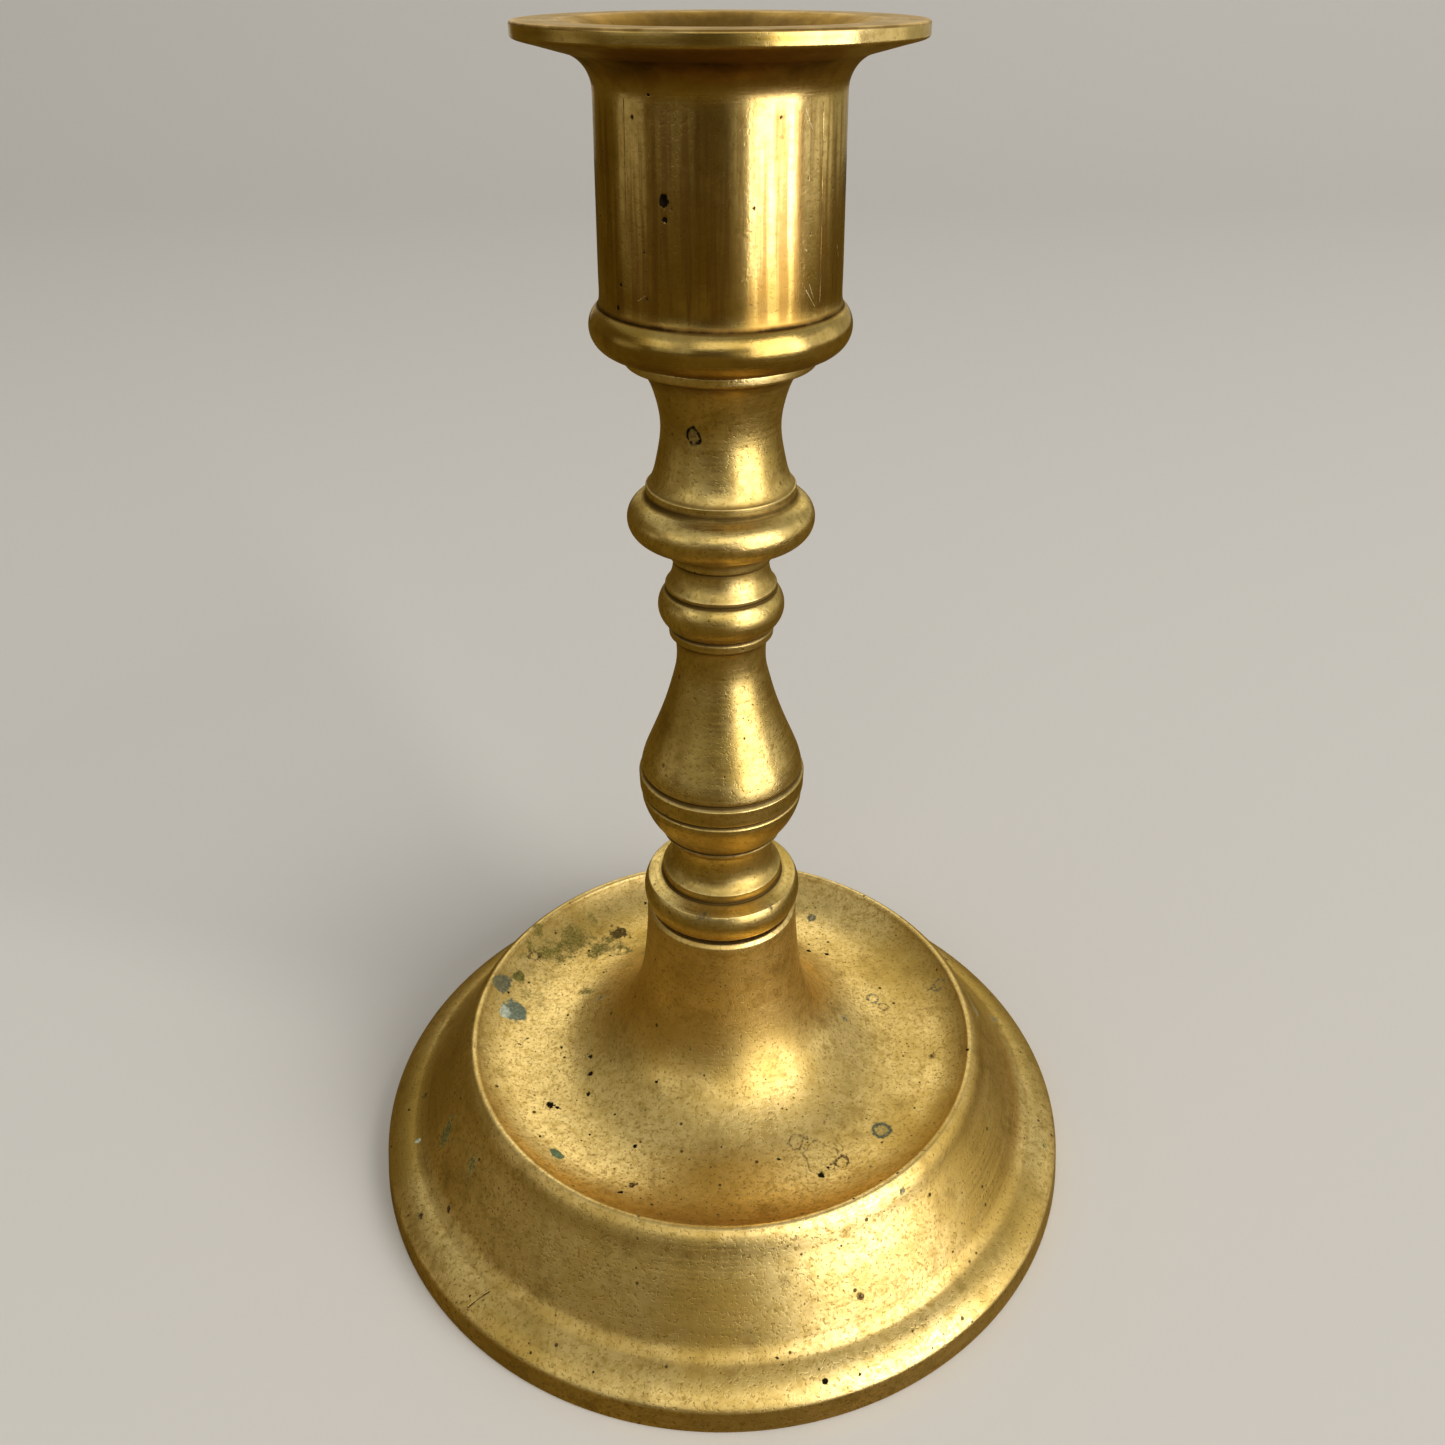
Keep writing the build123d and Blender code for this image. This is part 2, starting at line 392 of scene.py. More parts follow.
def press_marks(mesh, marks):
    """Moves the surface and paints the stain attribute under each mark."""
    places = places_of(mesh)
    normals = normals_of(mesh)
    rest = places.copy()
    tree = tree_of(rest)
    stain = np.zeros((len(rest), 4))
    for number, m in enumerate(marks):
        near = under(tree, m, m["size"] * 2.2 * max(m["wide"], 1))
        if not near:
            continue
        cover, dent = cover_and_dent(ragged_distance(rest[near], m, number), m)
        places[near] += normals[near] * (dent * m["depth"])[:, None]
        if m["colour"] is not None:
            amount = (cover * m["strength"])[:, None]
            stain[near, :3] = stain[near, :3] * (1 - amount) + np.array(m["colour"]) * amount
            stain[near, 3:] = stain[near, 3:] * (1 - amount) + amount
    painted = stain[:, 3] > 1e-4
    stain[painted, :3] /= stain[painted, 3:]
    mesh.vertices.foreach_set("co", places.ravel())
    layer = mesh.color_attributes.new("stain", "FLOAT_COLOR", "POINT")
    layer.data.foreach_set("color", stain.ravel())


def darken(mesh, amount):
    """Adds an amount for each vertex to the crevice attribute."""
    layer = mesh.attributes["crevice"].data
    layer.foreach_set("value", values_of(layer, "value", 1).ravel() + amount)


def add_underside_shade_and_grime(mesh, amount):
    """Darkens the metal where it faces down: painted shade under things, and grime out of reach of the
    polishing cloth.
    """
    down = step_between(-normals_of(mesh)[:, 2], 0.05, 0.9)
    darken(mesh, amount * down)


def add_soot(mesh):
    """Darkens the inside of the cup's mouth and its rim, browned by candles."""
    up = step_between(normals_of(mesh)[:, 2], 0.1, 0.5)
    darken(mesh, SOOT * up * (places_of(mesh)[:, 2] > SOOT_FROM))


def placed(name, data):
    """A new object with this data, linked to the scene."""
    made = bpy.data.objects.new(name, data)
    bpy.context.scene.collection.objects.link(made)
    return made


def finish_piece(name, bm, body, slot, material, *nodes, marks=(), underside_shade_and_grime=0.0, shape=None):
    """Turns the bmesh into a piece that rides a body and stands for its CAD nodes."""
    mesh = bpy.data.meshes.new(name)
    bm.to_mesh(mesh)
    bm.free()
    if shape is not None:
        shape(mesh)
    # Down-facing metal is darkened: painted shade under things, and some grime.
    add_underside_shade_and_grime(mesh, underside_shade_and_grime)
    press_marks(mesh, marks)
    mesh.materials.append(material)
    piece = placed(name, mesh)
    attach(piece, body)
    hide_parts(*nodes)


# ---------------------------------------------------------------- materials


class Nodes:
    """Short calls for building one material's node tree."""

    def __init__(self, name):
        self.material = bpy.data.materials.new(name)
        self.material.use_nodes = True
        self.tree = self.material.node_tree
        self.tree.nodes.clear()

    def add(self, kind, **settings):
        node = self.tree.nodes.new("ShaderNode" + kind)
        for key, value in settings.items():
            setattr(node, key, value)
        return node

    def link(self, source, socket):
        self.tree.links.new(source, socket)

    def feed(self, socket, value):
        if isinstance(value, bpy.types.NodeSocket):
            self.link(value, socket)
        elif value is not None:
            socket.default_value = value

    def math(self, operation, a, b=None, clamp=False):
        node = self.add("Math", operation=operation, use_clamp=clamp)
        self.feed(node.inputs[0], a)
        self.feed(node.inputs[1], b)
        return node.outputs[0]

    def span(self, value, low, high, to_low=0.0, to_high=1.0):
        """Value mapped from low..high to to_low..to_high, smoothly and clamped."""
        node = self.add("MapRange", interpolation_type="SMOOTHSTEP")
        self.feed(node.inputs["Value"], value)
        node.inputs["From Min"].default_value = low
        node.inputs["From Max"].default_value = high
        node.inputs["To Min"].default_value = to_low
        node.inputs["To Max"].default_value = to_high
        return node.outputs[0]

    def noise(self, vector, scale, detail=3.0, roughness=0.5, w=None):
        node = self.add("TexNoise", noise_dimensions="3D" if w is None else "4D")
        self.link(vector, node.inputs["Vector"])
        node.inputs["Scale"].default_value = scale
        node.inputs["Detail"].default_value = detail
        node.inputs["Roughness"].default_value = roughness
        if w is not None:
            self.link(w, node.inputs["W"])
        return node.outputs["Fac"]

    def dots(self, vector, cell, size, share):
        """A mask of round dots: size is against the cell, and share is how many cells have one."""
        node = self.add("TexVoronoi", feature="F1")
        self.link(vector, node.inputs["Vector"])
        node.inputs["Scale"].default_value = 1 / cell
        split = self.add("SeparateColor")
        self.link(node.outputs["Color"], split.inputs[0])
        there = self.math("LESS_THAN", split.outputs[0], share)
        reach = self.math("MULTIPLY_ADD", split.outputs[1], size * 0.8)
        reach.node.inputs[2].default_value = size * 0.35
        inner = self.math("SUBTRACT", reach, node.outputs["Distance"])
        soft = self.span(inner, 0.0, size * 0.35)
        return self.math("MULTIPLY", soft, there)

    def mix(self, amount, a, b):
        node = self.add("Mix", data_type="RGBA")
        self.feed(node.inputs[0], amount)
        for socket, value in ((node.inputs[6], a), (node.inputs[7], b)):
            if isinstance(value, bpy.types.NodeSocket):
                self.link(value, socket)
            else:
                socket.default_value = (*value, 1)
        return node.outputs[2]

    def attribute(self, name, output="Fac"):
        return self.add("Attribute", attribute_name=name).outputs[output]

    def bump(self, height, strength, distance, onto=None):
        node = self.add("Bump")
        self.link(height, node.inputs["Height"])
        node.inputs["Strength"].default_value = strength
        node.inputs["Distance"].default_value = distance
        if onto is not None:
            self.link(onto, node.inputs["Normal"])
        return node.outputs[0]


LATHE_LINES = 2600  # noise cells a metre, outward and up
DRAWN_LINES = 13  # noise cells a radius, round the wall
DRAWN_LENGTHWISE = 45  # noise cells a metre, up the wall


def turned_grains(n, position, lathe, upright):
    """Two grains with no seam round the Z axis: lathe lines that run round it, and drawn lines along it."""
    split = n.add("SeparateXYZ")
    n.link(position, split.inputs[0])
    x, y, z = split.outputs
    radius = n.math("SQRT", n.math("ADD", n.math("MULTIPLY", x, x), n.math("MULTIPLY", y, y)))
    safe = n.math("MAXIMUM", radius, 1e-5)
    east = n.math("DIVIDE", x, safe)
    south = n.math("DIVIDE", y, safe)
    rings = n.add("CombineXYZ")
    n.link(east, rings.inputs[0])
    n.link(south, rings.inputs[1])
    n.link(n.math("MULTIPLY", z, lathe), rings.inputs[2])
    lines = n.add("CombineXYZ")
    n.link(n.math("MULTIPLY", east, upright), lines.inputs[0])
    n.link(n.math("MULTIPLY", south, upright), lines.inputs[1])
    n.link(n.math("MULTIPLY", z, DRAWN_LENGTHWISE), lines.inputs[2])
    outward = n.math("MULTIPLY", radius, lathe)
    round_grain = n.noise(rings.outputs[0], 1.0, detail=4.0, roughness=0.6, w=outward)
    upright_grain = n.noise(lines.outputs[0], 1.0, detail=3.0, roughness=0.55)
    return round_grain, upright_grain


def aged_metal(name, light, deep, warm, shade_and_tarnish, roughness, pits, grain, speckle, seed):
    """Aged, bare metal: patina clouds, lathe grain, pits, crevices darkened by tarnish and painted shade,
    and bright worn edges.

    It reads the mesh's attributes: crevice, edge and stain, and drawn, which only the cup has and which
    also lays painted reflection streaks on its wall.
    """
    n = Nodes(name)
    position = n.add("TexCoord").outputs["Object"]
    shift = n.add("VectorMath", operation="ADD")
    n.link(position, shift.inputs[0])
    shift.inputs[1].default_value = (seed * 0.37, seed * 0.11, seed * 0.23)
    field = shift.outputs[0]

    clouds = n.noise(field, 42, detail=5, roughness=0.62)
    mottle = n.noise(field, 950, detail=5, roughness=0.7)
    turned, upright = turned_grains(n, position, LATHE_LINES, DRAWN_LINES)
    drawn = n.attribute("drawn")
    grain_gap = n.math("SUBTRACT", upright, turned)
    fine_grain = n.math("MULTIPLY_ADD", grain_gap, drawn)
    n.link(turned, fine_grain.node.inputs[2])
    patch = n.span(n.noise(field, 90, detail=3), 0.40, 0.68)

    colour = n.mix(n.span(clouds, 0.36, 0.66), light, deep)
    colour = n.mix(n.span(mottle, 0.42, 0.70, 0.0, speckle), colour, deep)
    dents = n.span(n.noise(field, 2300, detail=3, roughness=0.6), 0.53, 0.66)
    colour = n.mix(n.math("MULTIPLY", dents, pits * 0.65), colour, warm)
    blotches = n.noise(field, 210, detail=6, roughness=0.72)
    colour = n.mix(n.span(blotches, 0.50, 0.72, 0.0, speckle * 0.75), colour, warm)
    colour = n.mix(n.span(fine_grain, 0.45, 0.75, 0.0, 0.25), colour, deep)
    # Darker upright stripes on the cup's wall: drawn grain, and painted reflection streaks.
    grain_and_reflection_streak = n.math("MULTIPLY", n.span(upright, 0.42, 0.62, 0.0, 0.7), drawn)
    colour = n.mix(grain_and_reflection_streak, colour, warm)

    small_pits = n.math("MULTIPLY", n.dots(field, 0.55 * MM, 0.26, 0.35), n.span(patch, 0, 1, 0.5, 1.0))
    large_pits = n.dots(field, 1.7 * MM, 0.17, 0.30)
    pitted = n.math("MULTIPLY", n.math("MAXIMUM", small_pits, large_pits), pits, clamp=True)

    ragged = n.span(n.noise(field, 240, detail=4, roughness=0.65), 0.3, 0.7, 0.7, 1.15)
    crevice = n.math("MULTIPLY", n.attribute("crevice"), ragged, clamp=True)
    edge = n.math("MULTIPLY", n.span(n.attribute("edge"), 0.05, 0.45), n.span(ragged, 0.7, 1.0, 1.0, 0.35))

    colour = n.mix(n.math("MULTIPLY", pitted, 0.85), colour, PIT)
    # Darker where the crevice value is high: tarnish and painted shade in hollows, painted shade and grime
    # on down-facing metal, soot in the cup's mouth.
    colour = n.mix(n.span(crevice, 0.06, 0.50, 0.0, 0.75), colour, warm)
    colour = n.mix(n.span(crevice, 0.35, 0.95, 0.0, 0.95), colour, shade_and_tarnish)
    colour = n.mix(n.math("MULTIPLY", edge, 0.25), colour, WORN)
    stain = n.add("Attribute", attribute_name="stain")
    broken = n.math("SUBTRACT", n.noise(field, 2600, detail=4, roughness=0.7), 0.5)
    covered = n.math("MULTIPLY_ADD", broken, 1.3)
    n.link(stain.outputs["Alpha"], covered.node.inputs[2])
    covered = n.math("MULTIPLY", n.span(covered, 0.10, 0.80), n.span(stain.outputs["Alpha"], 0.0, 0.15))
    stained = n.mix(n.span(broken, -0.15, 0.15, 0.0, 0.45), stain.outputs["Color"], SCAB)
    colour = n.mix(covered, colour, stained)

    shine = n.span(clouds, 0.3, 0.7, roughness * 0.85, roughness * 1.2)
    shine = n.math("ADD", shine, n.span(fine_grain, 0.3, 0.75, -0.04, 0.07))
    shine = n.math("ADD", shine, n.math("MULTIPLY", crevice, 0.35))
    shine = n.math("ADD", shine, n.math("MULTIPLY", pitted, 0.25))
    shine = n.math("ADD", shine, n.math("MULTIPLY", covered, 0.3), clamp=True)
    paleness = n.add("RGBToBW")
    n.link(stain.outputs["Color"], paleness.inputs[0])
    chalky = n.math("MULTIPLY", covered, n.math("MULTIPLY", paleness.outputs[0], 4.0, clamp=True))
    metal = n.math("SUBTRACT", 1.0, n.math("MULTIPLY", chalky, 0.85), clamp=True)

    normal = n.bump(fine_grain, grain, 0.02 * MM)
    normal = n.bump(n.math("SUBTRACT", 1.0, dents), pits * 0.5, 0.03 * MM, normal)
    normal = n.bump(mottle, grain, 0.015 * MM, normal)
    normal = n.bump(n.math("SUBTRACT", 1.0, pitted), 0.12, 0.05 * MM, normal)

    shader = n.add("BsdfPrincipled")
    n.link(colour, shader.inputs["Base Color"])
    n.link(metal, shader.inputs["Metallic"])
    n.link(shine, shader.inputs["Roughness"])
    n.link(normal, shader.inputs["Normal"])
    n.link(n.math("SUBTRACT", 0.5, n.math("MULTIPLY", covered, 0.42)), shader.inputs["Specular IOR Level"])
    shader.inputs["Specular Tint"].default_value = (0.92, 0.80, 0.56, 1)
    output = n.add("OutputMaterial")
    n.link(shader.outputs[0], output.inputs[0])
    return n.material


foot_brass = aged_metal(
    "foot_brass",
    light=(0.84, 0.61, 0.215),
    deep=(0.50, 0.325, 0.070),
    warm=(0.30, 0.185, 0.038),
    shade_and_tarnish=(0.050, 0.025, 0.005),
    roughness=0.38,
    pits=1.0,
    grain=0.5,
    speckle=0.85,
    seed=1,
)
stem_brass = aged_metal(
    "stem_brass",
    light=(0.78, 0.575, 0.20),
    deep=(0.43, 0.285, 0.060),
    warm=(0.25, 0.150, 0.030),
    shade_and_tarnish=(0.105, 0.062, 0.014),
    roughness=0.30,
    pits=0.7,
    grain=0.2,
    speckle=0.7,
    seed=2,
)
cup_brass = aged_metal(
    "cup_brass",
    light=(0.74, 0.535, 0.19),
    deep=(0.36, 0.23, 0.042),
    warm=(0.24, 0.115, 0.018),
    shade_and_tarnish=(0.030, 0.014, 0.003),
    roughness=0.20,
    pits=0.25,
    grain=0.3,
    speckle=0.5,
    seed=3,
)
steel = aged_metal(
    "stud_steel",
    light=(0.42, 0.41, 0.39),
    deep=(0.25, 0.23, 0.21),
    warm=(0.16, 0.13, 0.10),
    shade_and_tarnish=(0.04, 0.03, 0.02),
    roughness=0.36,
    pits=0.4,
    grain=0.4,
    speckle=0.4,
    seed=4,
)


# ---------------------------------------------------------------- pieces


def foot_marks(rows):
    """The foot's known marks, then a seeded scatter of small ones all round."""

    def at(bearing, radius):
        return on_piece(rows, bearing, radius=radius)

    marks = [
        mark(at(-104, 34.4), 1.65, GREY, 0.80, 0.05, wide=1.1),
        mark(at(-97.5, 31.4), 1.85, SLATE, 0.90, 0.12, wide=1.25),
        mark(at(-96, 32.6), 0.85, CHALK, 0.95, 0.06, wide=1.5),
        mark(at(-109, 33.0), 1.15, OLIVE, 0.8, 0.03),
        mark(at(-130, 30.4), 4.0, MOSS, 0.66, wide=1.5, shape="soft", ragged=1.2),
        mark(at(-133, 26.8), 2.0, MOSS, 0.72, -0.02, shape="soft", ragged=1.0),
        mark(at(-121, 32.6), 2.2, MOSS, 0.68, shape="soft", ragged=1.0),
        mark(at(-105, 31.0), 2.6, MOSS, 0.45, shape="soft", ragged=1.0),
        mark(at(-45, 31.5), 0.75, VERDIGRIS, 0.95, 0.10, wide=1.7, ragged=0.15),
        mark(at(-76, 45.6), 0.6, CHALK, 0.95, 0.10, wide=0.6),
        mark(at(-70, 41.6), 1.6, OLIVE, 0.75, -0.02, wide=0.7, ragged=0.6),
        mark(at(-58, 40.3), 1.4, OLIVE, 0.65, -0.02, wide=0.6, ragged=0.6),
        mark(at(149, 29.5), 0.9, GREY, 0.7, 0.02),
        mark(at(101, 25.0), 0.95, BROWN, 0.5, shape="ring"),
        mark(at(49, 28.3), 1.45, VERDIGRIS, 0.35, wide=1.1, ragged=0.2),
        mark(at(49, 28.3), 1.6, GREY, 0.8, -0.02, shape="ring", ragged=0.2),
        mark(at(25, 22.8), 1.5, BROWN, 0.6, shape="ring", ragged=0.6),
        mark(at(29, 26.2), 3.3, BROWN, 0.45, shape="ring", ragged=0.8),
        mark(at(29, 26.0), 3.2, MOSS, 0.25, shape="soft", ragged=1.0),
        mark(at(33, 28.3), 1.3, BROWN, 0.6, shape="ring", ragged=0.6),
        mark(at(26, 28.7), 0.45, BLACK, 0.9, -0.08),
        mark(at(-61, 27.6), 0.55, BLACK, 0.9, -0.12, ragged=0.7),
        mark(at(-59, 26.9), 0.3, BLACK, 0.9, -0.10, ragged=0.7),
        mark(at(-73, 19.9), 0.42, BLACK, 0.85, -0.10, ragged=0.7),
        mark(at(-65, 20.8), 0.40, BLACK, 0.85, -0.10, ragged=0.6),
        mark(at(140, 22.0), 0.4, BLACK, 0.85, -0.08),
        mark(at(134, 23.6), 0.35, BLACK, 0.85, -0.08),
        mark(at(37, 37.7), 0.55, GREY, 0.6, -0.04),
        mark(at(23, 42.8), 0.75, BROWN, 0.6, -0.03),
        mark(at(10, 40.2), 1.1, BROWN, 0.5, shape="soft"),
        mark(at(14, 48.5), 0.4, BLACK, 0.9, -0.12),
        mark(at(75, 48.3), 1.0, OLIVE, 0.6, wide=1.6, shape="soft"),
        mark(at(-61, 47.6), 0.45, BROWN, 0.8, -0.05),
        mark(at(-58, 44.4), 0.5, BROWN, 0.8, -0.05),
        mark(at(-30, 24.0), 0.3, BLACK, 0.85, -0.07),
        mark(at(-14, 33.5), 0.3, BLACK, 0.85, -0.07),
        mark(at(-24, 29.5), 0.5, BROWN, 0.7, -0.04, ragged=0.7),
        scratch(at(17.5, 40.3), at(22, 39.0), 0.08, BROWN, 0.85, -0.04),
        scratch(at(-3, 37.3), at(-1, 36.7)),
        scratch(at(-10.5, 13.8), at(-6, 14.4), 0.06),
        scratch(at(-43.5, 44.0), at(-41.0, 46.2), 0.09, BROWN, 0.8, -0.05),
        scratch(at(-41.0, 46.2), at(-42.6, 49.2), 0.10, BROWN, 0.9, -0.07),
    ]
    for _ in range(95):
        bearing = rng.uniform(-180, 180)
        radius = rng.uniform(12.5, 49.0)
        size = rng.choice([0.13, 0.17, 0.22, 0.3], p=[0.4, 0.3, 0.2, 0.1])
        marks.append(mark(at(bearing, radius), size, BLACK, 0.85, -0.3 * size, ragged=0.6))
    for _ in range(16):
        bearing = rng.uniform(65, 275)
        radius = rng.uniform(15.0, 48.5)
        colour = (BROWN, OLIVE, GREY)[rng.integers(3)]
        shape = ("soft", "ring", "spot")[rng.integers(3)]
        marks.append(mark(at(bearing, radius), rng.uniform(0.5, 1.4), colour, 0.6, ragged=0.6, shape=shape))
    for _ in range(14):
        bearing = rng.uniform(0, 360)
        radius = rng.uniform(20.0, 47.0)
        turn = rng.uniform(-4, 4)
        reach = rng.uniform(-1.5, 1.5)
        marks.append(scratch(at(bearing, radius), at(bearing + turn, radius + reach)))
    return marks


def cup_marks(rows):
    """Pits and scratches on the cup's wall and rim."""

    def at(bearing, height):
        return on_piece(rows, bearing, height=height)

    marks = [
        mark(at(-25.5, 133.3), 0.60, BLACK, 1.0, -0.16, wide=0.8),
        mark(at(-25.0, 131.6), 0.30, BLACK, 1.0, -0.10),
        mark(at(-41, 140.0), 0.22, BROWN, 0.9, -0.08),
        mark(at(-32, 141.9), 0.17, BLACK, 0.9, -0.06),
        mark(at(-35, 124.3), 0.18, BROWN, 0.9, -0.06),
        mark(at(-54, 122.8), 0.24, BLACK, 0.9, -0.08),
        mark(at(-51, 125.1), 0.18, BLACK, 0.9, -0.06),
        mark(at(13.5, 132.7), 0.15, BROWN, 0.9, -0.05),
        mark(at(-22, 132.6), 0.15, BROWN, 0.9, -0.05),
        mark(at(-36, 128.5), 0.14, BROWN, 0.8, -0.05),
        scratch(at(38.0, 140.6), at(42.0, 139.0)),
        scratch(at(40.5, 141.8), at(42.5, 143.0)),
        scratch(at(40.0, 124.9), at(46.0, 123.2)),
        scratch(at(42.0, 125.4), at(45.0, 124.0), 0.04),
        scratch(at(49.0, 141.0), at(49.6, 123.5), 0.05, BROWN, 0.7, -0.03),
        scratch(at(-46.0, 141.4), at(-46.6, 122.6), 0.06, BROWN, 0.7, -0.03),
    ]
    for _ in range(26):
        bearing = rng.uniform(-180, 180)
        height = rng.uniform(122.5, 141.0)
        size = rng.uniform(0.08, 0.18)
        marks.append(mark(at(bearing, height), size, BROWN, 0.85, -0.3 * size, ragged=0.5))
    for _ in range(14):
        bearing = rng.uniform(-180, 180)
        height = rng.uniform(123.5, 140.0)
        turn = rng.uniform(-5, 5)
        rise = rng.uniform(-1.5, 1.5)
        end = at(bearing + turn, height + rise)
        marks.append(scratch(at(bearing, height), end, 0.04, BRIGHT, 0.45, -0.012))
    return marks


def stem_marks(rows):
    """The neck's pit, the stains on the bottom ring, and small marks all round."""

    def at(bearing, height):
        return on_piece(rows, bearing, height=height)

    marks = [
        mark(at(-27, 109.2), 1.45, BLACK, 0.95, -0.05, wide=0.7, shape="ring", ragged=0.3),
        mark(at(-27, 109.2), 0.7, BROWN, 0.5, -0.04, wide=0.7),
        mark(at(-17, 46.6), 1.5, INK, 0.50, wide=1.9, shape="soft", ragged=0.8),
        mark(at(38, 46.6), 1.1, INK, 0.50, wide=1.5, shape="soft", ragged=0.8),
    ]
    for _ in range(44):
        bearing = rng.uniform(-180, 180)
        height = rng.uniform(44.0, 115.0)
        size = rng.uniform(0.07, 0.17)
        marks.append(mark(at(bearing, height), size, BROWN, 0.85, -0.3 * size, ragged=0.5))
    return marks


def drawn_wall(mesh):
    """The faint upright flats and lines that the cup's wall has from its rough tube; the drawn mask also
    carries painted reflection streaks there.
    """
    places = places_of(mesh)
    radius = np.hypot(places[:, 0], places[:, 1])
    bearing = np.arctan2(places[:, 0], -places[:, 1])
    above_bead = step_between(places[:, 2], 121.8 * MM, 122.6 * MM)
    below_flare = step_between(places[:, 2], 142.2 * MM, 139.8 * MM)
    wall = above_bead * below_flare * (radius > 11.8 * MM)
    ripple = np.zeros(len(places))
    for waves, height in ((5, 0.006), (11, 0.005), (17, 0.0045), (29, 0.0030), (47, 0.0020)):
        ripple += height * MM * np.sin(waves * bearing + rng.uniform(0, 2 * math.pi))
    inward = 0.012 * MM
    scale = 1 + (ripple - inward) * wall / np.maximum(radius, ON_AXIS)
    places[:, :2] *= scale[:, None]
    mesh.vertices.foreach_set("co", places.ravel())
    drawn = mesh.attributes.new("drawn", "FLOAT", "POINT")
    drawn.data.foreach_set("value", wall)
    add_soot(mesh)


def turned_body(node, worn_edge, segments, marks_on, spacing):
    """The node's turned mesh and its marks; spacing is how far apart the mesh's points are before cuts."""
    rows = dressed_outline(node, worn_edge)
    bm = turned_mesh(rows, segments)
    marks = marks_on(rows)
    refine(bm, marks, spacing)
    return bm, marks


# Each piece's grime amount darkens its down-facing metal: painted shade under things, and grime.
bm, marks = turned_body("foot", 0.10 * MM, 432, foot_marks, 0.6 * MM)
finish_piece("foot_casting", bm, "foot", "foot_brass", foot_brass, "foot", marks=marks, underside_shade_and_grime=0.35)

bm, marks = turned_body("stem", 0.07 * MM, 240, stem_marks, 0.3 * MM)
finish_piece("stem_turning", bm, "stem", "stem_brass", stem_brass, "stem", marks=marks, underside_shade_and_grime=0.30)

bm, marks = turned_body("cup", 0.08 * MM, 320, cup_marks, 0.35 * MM)
finish_piece(
    "cup_turning", bm, "cup", "cup_brass", cup_brass, "cup", marks=marks, underside_shade_and_grime=0.45, shape=drawn_wall
)


def threaded_rod(node):
    """A real helical thread as long and as thick as the CAD stud, with tapered ends."""
    low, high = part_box(node)
    crest = high.x
    root = crest - THREAD_DEPTH
    segments = THREAD_SEGMENTS
    step = THREAD_PITCH / THREAD_ROWS
    count = int(round((high.z - low.z) / step))
    bm = bmesh.new()
    crevice_layer = bm.verts.layers.float.new("crevice")
    edge_layer = bm.verts.layers.float.new("edge")
    rings = []
    for k in range(count + 1):
        height = low.z + (high.z - low.z) * k / count
        ring = []
        for i in range(segments):
            a = 2 * math.pi * i / segments
            phase = ((height - low.z) / THREAD_PITCH - i / segments) % 1.0
            flank = min(max((abs(phase - 0.5) - CREST_HALF) / FLANK_WIDTH, 0.0), 1.0)
            end = min(height - low.z, high.z - height)
            radius = min(crest - flank * THREAD_DEPTH, root + end)
            vert = bm.verts.new((radius * math.sin(a), -radius * math.cos(a), height))
            # The thread's roots get a crevice value: painted shade in the grooves, and tarnish.
            vert[crevice_layer] = flank ** 3 * 0.8
            vert[edge_layer] = (1 - flank) ** 4 * 0.5
            ring.append(vert)
        rings.append(ring)
    for lower, upper in zip(rings[:-1], rings[1:]):
        for i in range(segments):
            j = (i + 1) % segments
            bm.faces.new((lower[i], lower[j], upper[j], upper[i])).smooth = True
    bm.faces.new(rings[0][::-1])
    bm.faces.new(rings[-1])
    bmesh.ops.recalc_face_normals(bm, faces=bm.faces)
    return bm


bm = threaded_rod("foot_stud")
finish_piece("foot_stud_rod", bm, "foot_stud", "stud_steel", steel, "foot_stud")

bm = threaded_rod("cup_stud")
finish_piece("cup_stud_rod", bm, "cup_stud", "stud_steel", steel, "cup_stud")


# ---------------------------------------------------------------- floor, light and camera


def plain_material(name, colour, roughness):
    """A matt studio surface with no gloss."""
    n = Nodes(name)
    shader = n.add("BsdfPrincipled")
    shader.inputs["Base Color"].default_value = (*colour, 1)
    shader.inputs["Roughness"].default_value = roughness
    shader.inputs["Specular IOR Level"].default_value = 0.0
    n.link(shader.outputs[0], n.add("OutputMaterial").inputs[0])
    return n.material


def strip_faces(count):
    """Faces of a strip of this many quads, whose points come in pairs across it."""
    return [(2 * i, 2 * i + 1, 2 * i + 3, 2 * i + 2) for i in range(count)]


def staged(name, points, faces, colour, roughness=0.9):
    """A matt studio surface that isn't part of the object."""
    mesh = bpy.data.meshes.new(name)
    mesh.from_pydata(points, [], faces)
    mesh.materials.append(plain_material(name, colour, roughness))
    surface = placed(name, mesh)
    return surface


def studio_floor():
    """A pale floor that curves up into a backdrop well behind the object."""
    width = 24.0
    back = 2.4
    front = -12.0
    bend = 1.6
    wall = 2.6
    steps = 24
    outline = [(front, 0.0), (back - bend, 0.0)]
    for i in range(1, steps + 1):
        a = math.radians(90 * i / steps)
        outline.append((back - bend + bend * math.sin(a), bend - bend * math.cos(a)))
    outline.append((back, wall))
    points = [(side * width / 2, y, z) for y, z in outline for side in (-1, 1)]
    floor = staged("studio_floor", points, strip_faces(len(outline) - 1), (0.62, 0.585, 0.53), 0.85)
    for face in floor.data.polygons:
        face.use_smooth = True
    floor.visible_glossy = False


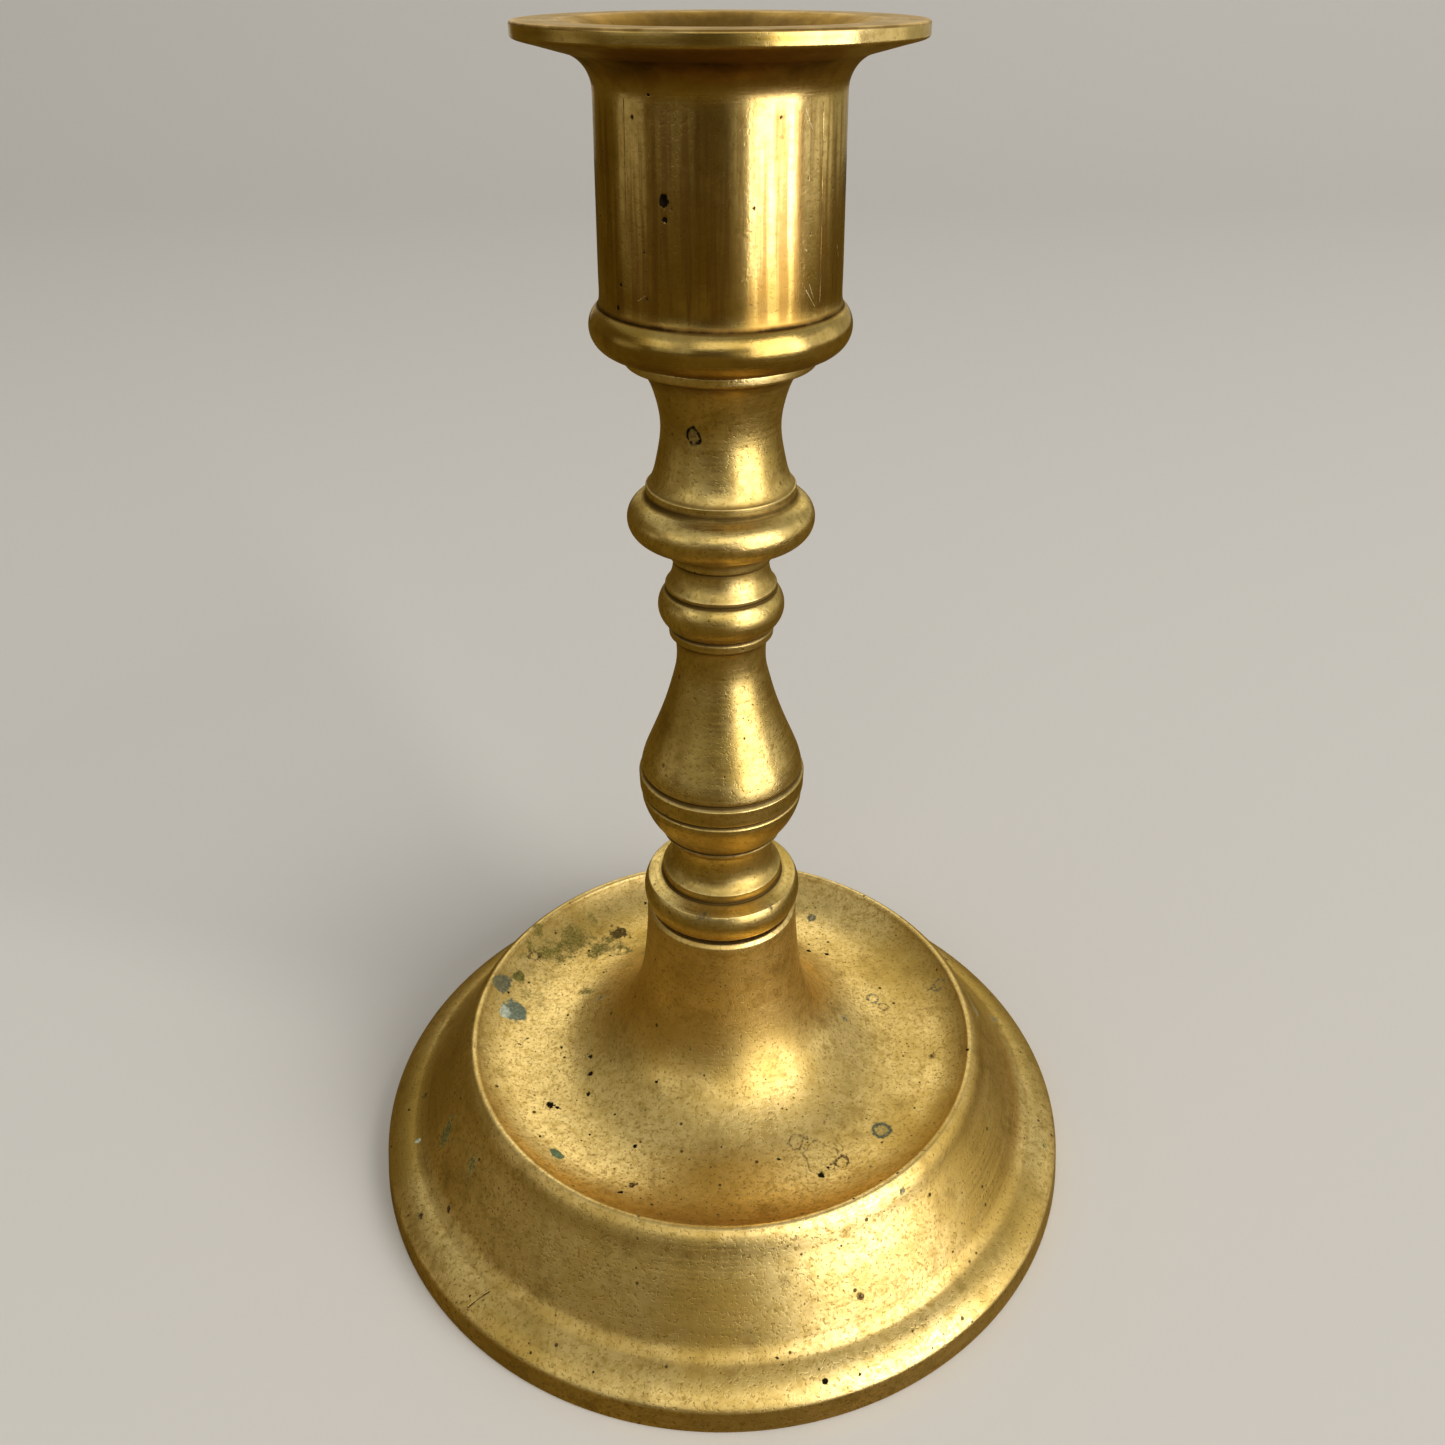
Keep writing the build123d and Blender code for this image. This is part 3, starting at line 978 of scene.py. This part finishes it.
def soft_light(name, bearing, distance, bottom, size, radiance, colour=(1, 1, 1)):
    """An upright soft panel at a bearing, facing the object; radiance is how bright it looks."""
    a = math.radians(bearing)
    width, height = size
    data = bpy.data.lights.new(name, "AREA")
    data.shape = "RECTANGLE"
    data.size = width
    data.size_y = height
    data.energy = radiance * math.pi * width * height
    data.color = colour
    lamp = placed(name, data)
    lamp.location = (distance * math.sin(a), -distance * math.cos(a), bottom + height / 2)
    towards = Vector((-lamp.location.x, -lamp.location.y, 0))
    lamp.rotation_euler = towards.to_track_quat("-Z", "Y").to_euler()
    lamp.visible_camera = False
    return lamp


def card(name, points, faces, colour):
    """A studio card that is seen only in the brass."""
    made = staged(name, points, faces, colour)
    made.visible_camera = False
    made.visible_diffuse = False
    made.visible_shadow = False


def curved_card(name, start, end, distance, bottom, top, colour):
    """A card bent round the object between two bearings."""
    steps = 24
    points = []
    for i in range(steps + 1):
        a = math.radians(start + (end - start) * i / steps)
        for height in (bottom, top):
            points.append((distance * math.sin(a), -distance * math.cos(a), height))
    card(name, points, strip_faces(steps), colour)


def cloth_card():
    """A round card of sackcloth brown on the table."""
    steps = 48
    reach = 1.1
    lift = 0.3 * MM
    turns = [2 * math.pi * i / steps for i in range(steps)]
    points = [(reach * math.cos(a), reach * math.sin(a), lift) for a in turns]
    card("cloth_card", points, [tuple(range(steps))], (0.175, 0.125, 0.030))


def sky():
    """A dim even fill."""
    world = bpy.data.worlds.new("studio")
    world.use_nodes = True
    background = world.node_tree.nodes["Background"]
    background.inputs["Color"].default_value = (0.95, 0.96, 0.95, 1)
    background.inputs["Strength"].default_value = 0.50
    bpy.context.scene.world = world


def camera():
    """A phone's wide view from in front and above, as the object is best known."""
    place = Vector((-1.92, -133.99, 152.87)) * MM
    bearing = -0.88
    downward = 31.70
    lean = -0.08
    data = bpy.data.cameras.new("camera")
    data.sensor_width = 36
    data.lens = 31.2
    data.clip_start = 0.01
    view = placed("camera", data)
    turn = Matrix.Rotation(math.radians(bearing), 4, "Z")
    tilt = Matrix.Rotation(math.radians(90 - downward), 4, "X")
    roll = Matrix.Rotation(math.radians(lean), 4, "Z")
    view.matrix_world = Matrix.Translation(place) @ turn @ tilt @ roll
    bpy.context.scene.camera = view


studio_floor()
sky()
# Each panel's bearing, distance, bottom edge, size and radiance. The key is cool, as a window is.
key_colour = (0.79, 0.82, 1.0)
key_in_the_brass = soft_light("key_in_the_brass", 50, 0.5, 0.0, (0.44, 0.64), 5.2, key_colour)
key_on_the_floor = soft_light("key_on_the_floor", 50, 2.0, 0.5, (1.4, 1.4), 8.8)
soft_light("front_top", 0, 0.9, 0.50, (0.75, 0.75), 1.25)
right_fill = soft_light("right_fill", 98, 0.9, 0.0, (0.55, 0.55), 0.45)
soft_light("left_fill", -58, 0.9, 0.30, (0.50, 0.50), 0.75)
strip = soft_light("strip", -86, 0.85, 0.0, (0.44, 0.22), 0.3)
back_fill = soft_light("back_fill", 180, 1.3, 0.45, (2.0, 1.4), 1.0)
key_on_the_floor.visible_glossy = False
# These would draw their own edges on the floor.
for lamp in (key_in_the_brass, right_fill, strip, back_fill):
    lamp.visible_diffuse = False
# Dim cards in the room's place: start and end bearings, distance, bottom, top and colour.
curved_card("front_card", -24, 9, 0.9, 0.0, 0.36, (0.140, 0.105, 0.034))
curved_card("low_card", -66, -24, 0.9, 0.0, 0.12, (0.140, 0.105, 0.034))
curved_card("left_card", -155, -60, 0.95, 0.0, 0.62, (0.130, 0.095, 0.026))
cloth_card()
camera()
bpy.context.scene.view_settings.view_transform = "Standard"
